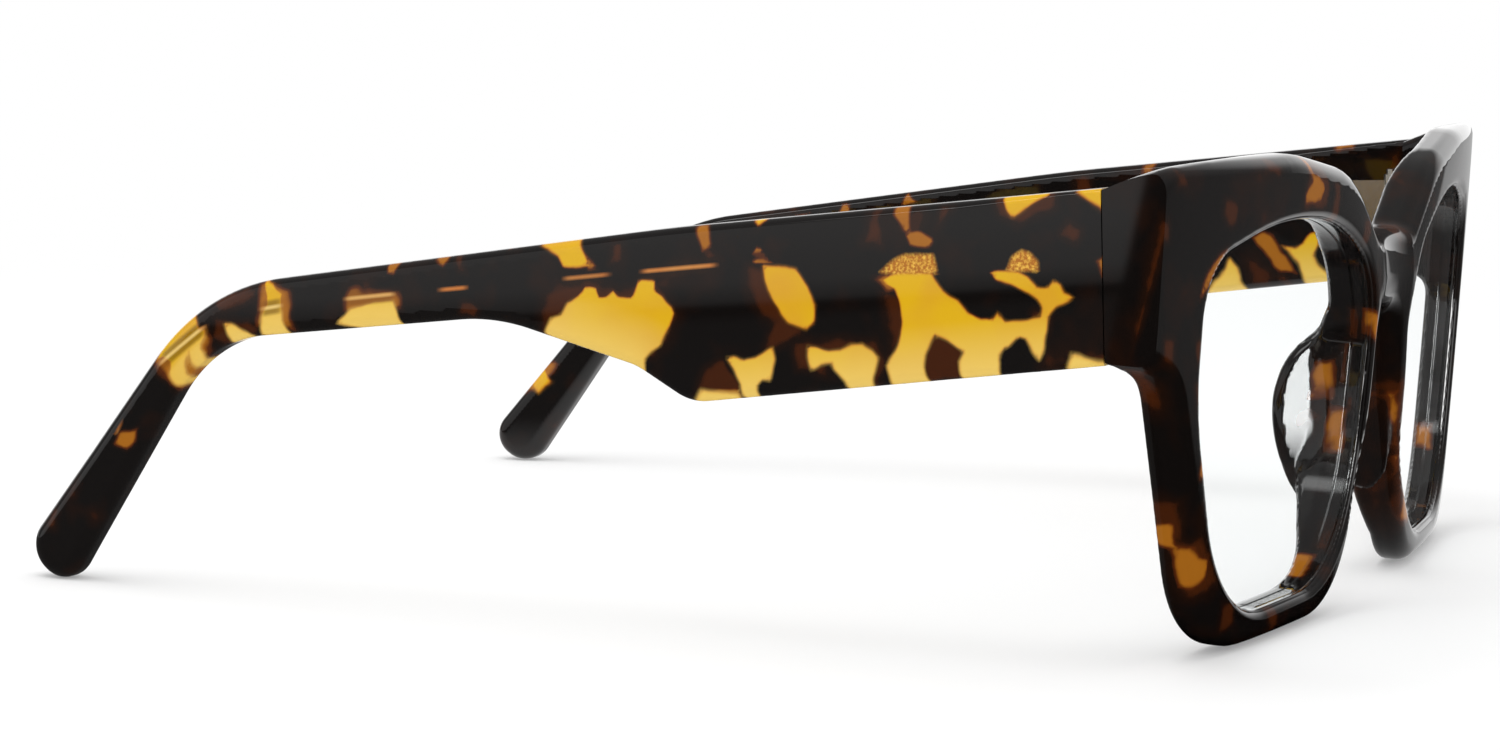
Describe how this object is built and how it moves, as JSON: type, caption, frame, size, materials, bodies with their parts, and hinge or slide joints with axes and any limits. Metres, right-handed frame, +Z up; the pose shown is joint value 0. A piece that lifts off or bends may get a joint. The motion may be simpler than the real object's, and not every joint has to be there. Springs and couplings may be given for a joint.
{
  "type": "eyeglasses",
  "caption": "Square full-rim eyeglasses in thick tortoiseshell acetate, with clear lenses and broad folding temples on metal barrel hinges.",
  "frame": {"origin": "on the surface the open glasses stand on, in the middle of their box", "axes": "+X towards the wearer's left, +Y from the front back along the temples, +Z up"},
  "size_m": [0.142, 0.1464, 0.0531],
  "materials": {
    "front_acetate": "polished dark tortoiseshell acetate",
    "temple_acetate": "polished tortoiseshell acetate, honey patches in black-brown",
    "clear_lens": "clear polished lens plastic",
    "hinge_metal": "polished nickel silver",
    "wire_metal": "drawn nickel silver wire",
    "gilt_anchor": "grained gilt brass"
  },
  "bodies": {
    "front": {"front_frame": "front_acetate", "lens_right": "clear_lens", "lens_left": "clear_lens", "nose_pad_right": "front_acetate", "nose_pad_left": "front_acetate", "front_hinge_right": "hinge_metal", "front_hinge_left": "hinge_metal", "front_anchor_right": "gilt_anchor", "front_anchor_left": "gilt_anchor", "hinge_screw_right": "hinge_metal", "hinge_screw_left": "hinge_metal"},
    "right_temple": {"temple_right": "temple_acetate", "core_wire_right": "wire_metal", "temple_hinge_right": "hinge_metal", "temple_anchor_right": "gilt_anchor"},
    "left_temple": {"temple_left": "temple_acetate", "core_wire_left": "wire_metal", "temple_hinge_left": "hinge_metal", "temple_anchor_left": "gilt_anchor"}
  },
  "joints": [
    {"name": "left_temple_fold", "type": "hinge", "parent": "front", "child": "left_temple", "pos_m": [0.06455, -0.05724, 0.04117], "axis": [0, 0.0419, 0.9991], "range_deg": [0, 88]},
    {"name": "right_temple_fold", "type": "hinge", "parent": "front", "child": "right_temple", "pos_m": [-0.06455, -0.05724, 0.04117], "axis": [0, -0.0419, -0.9991], "range_deg": [0, 80]}
  ]
}
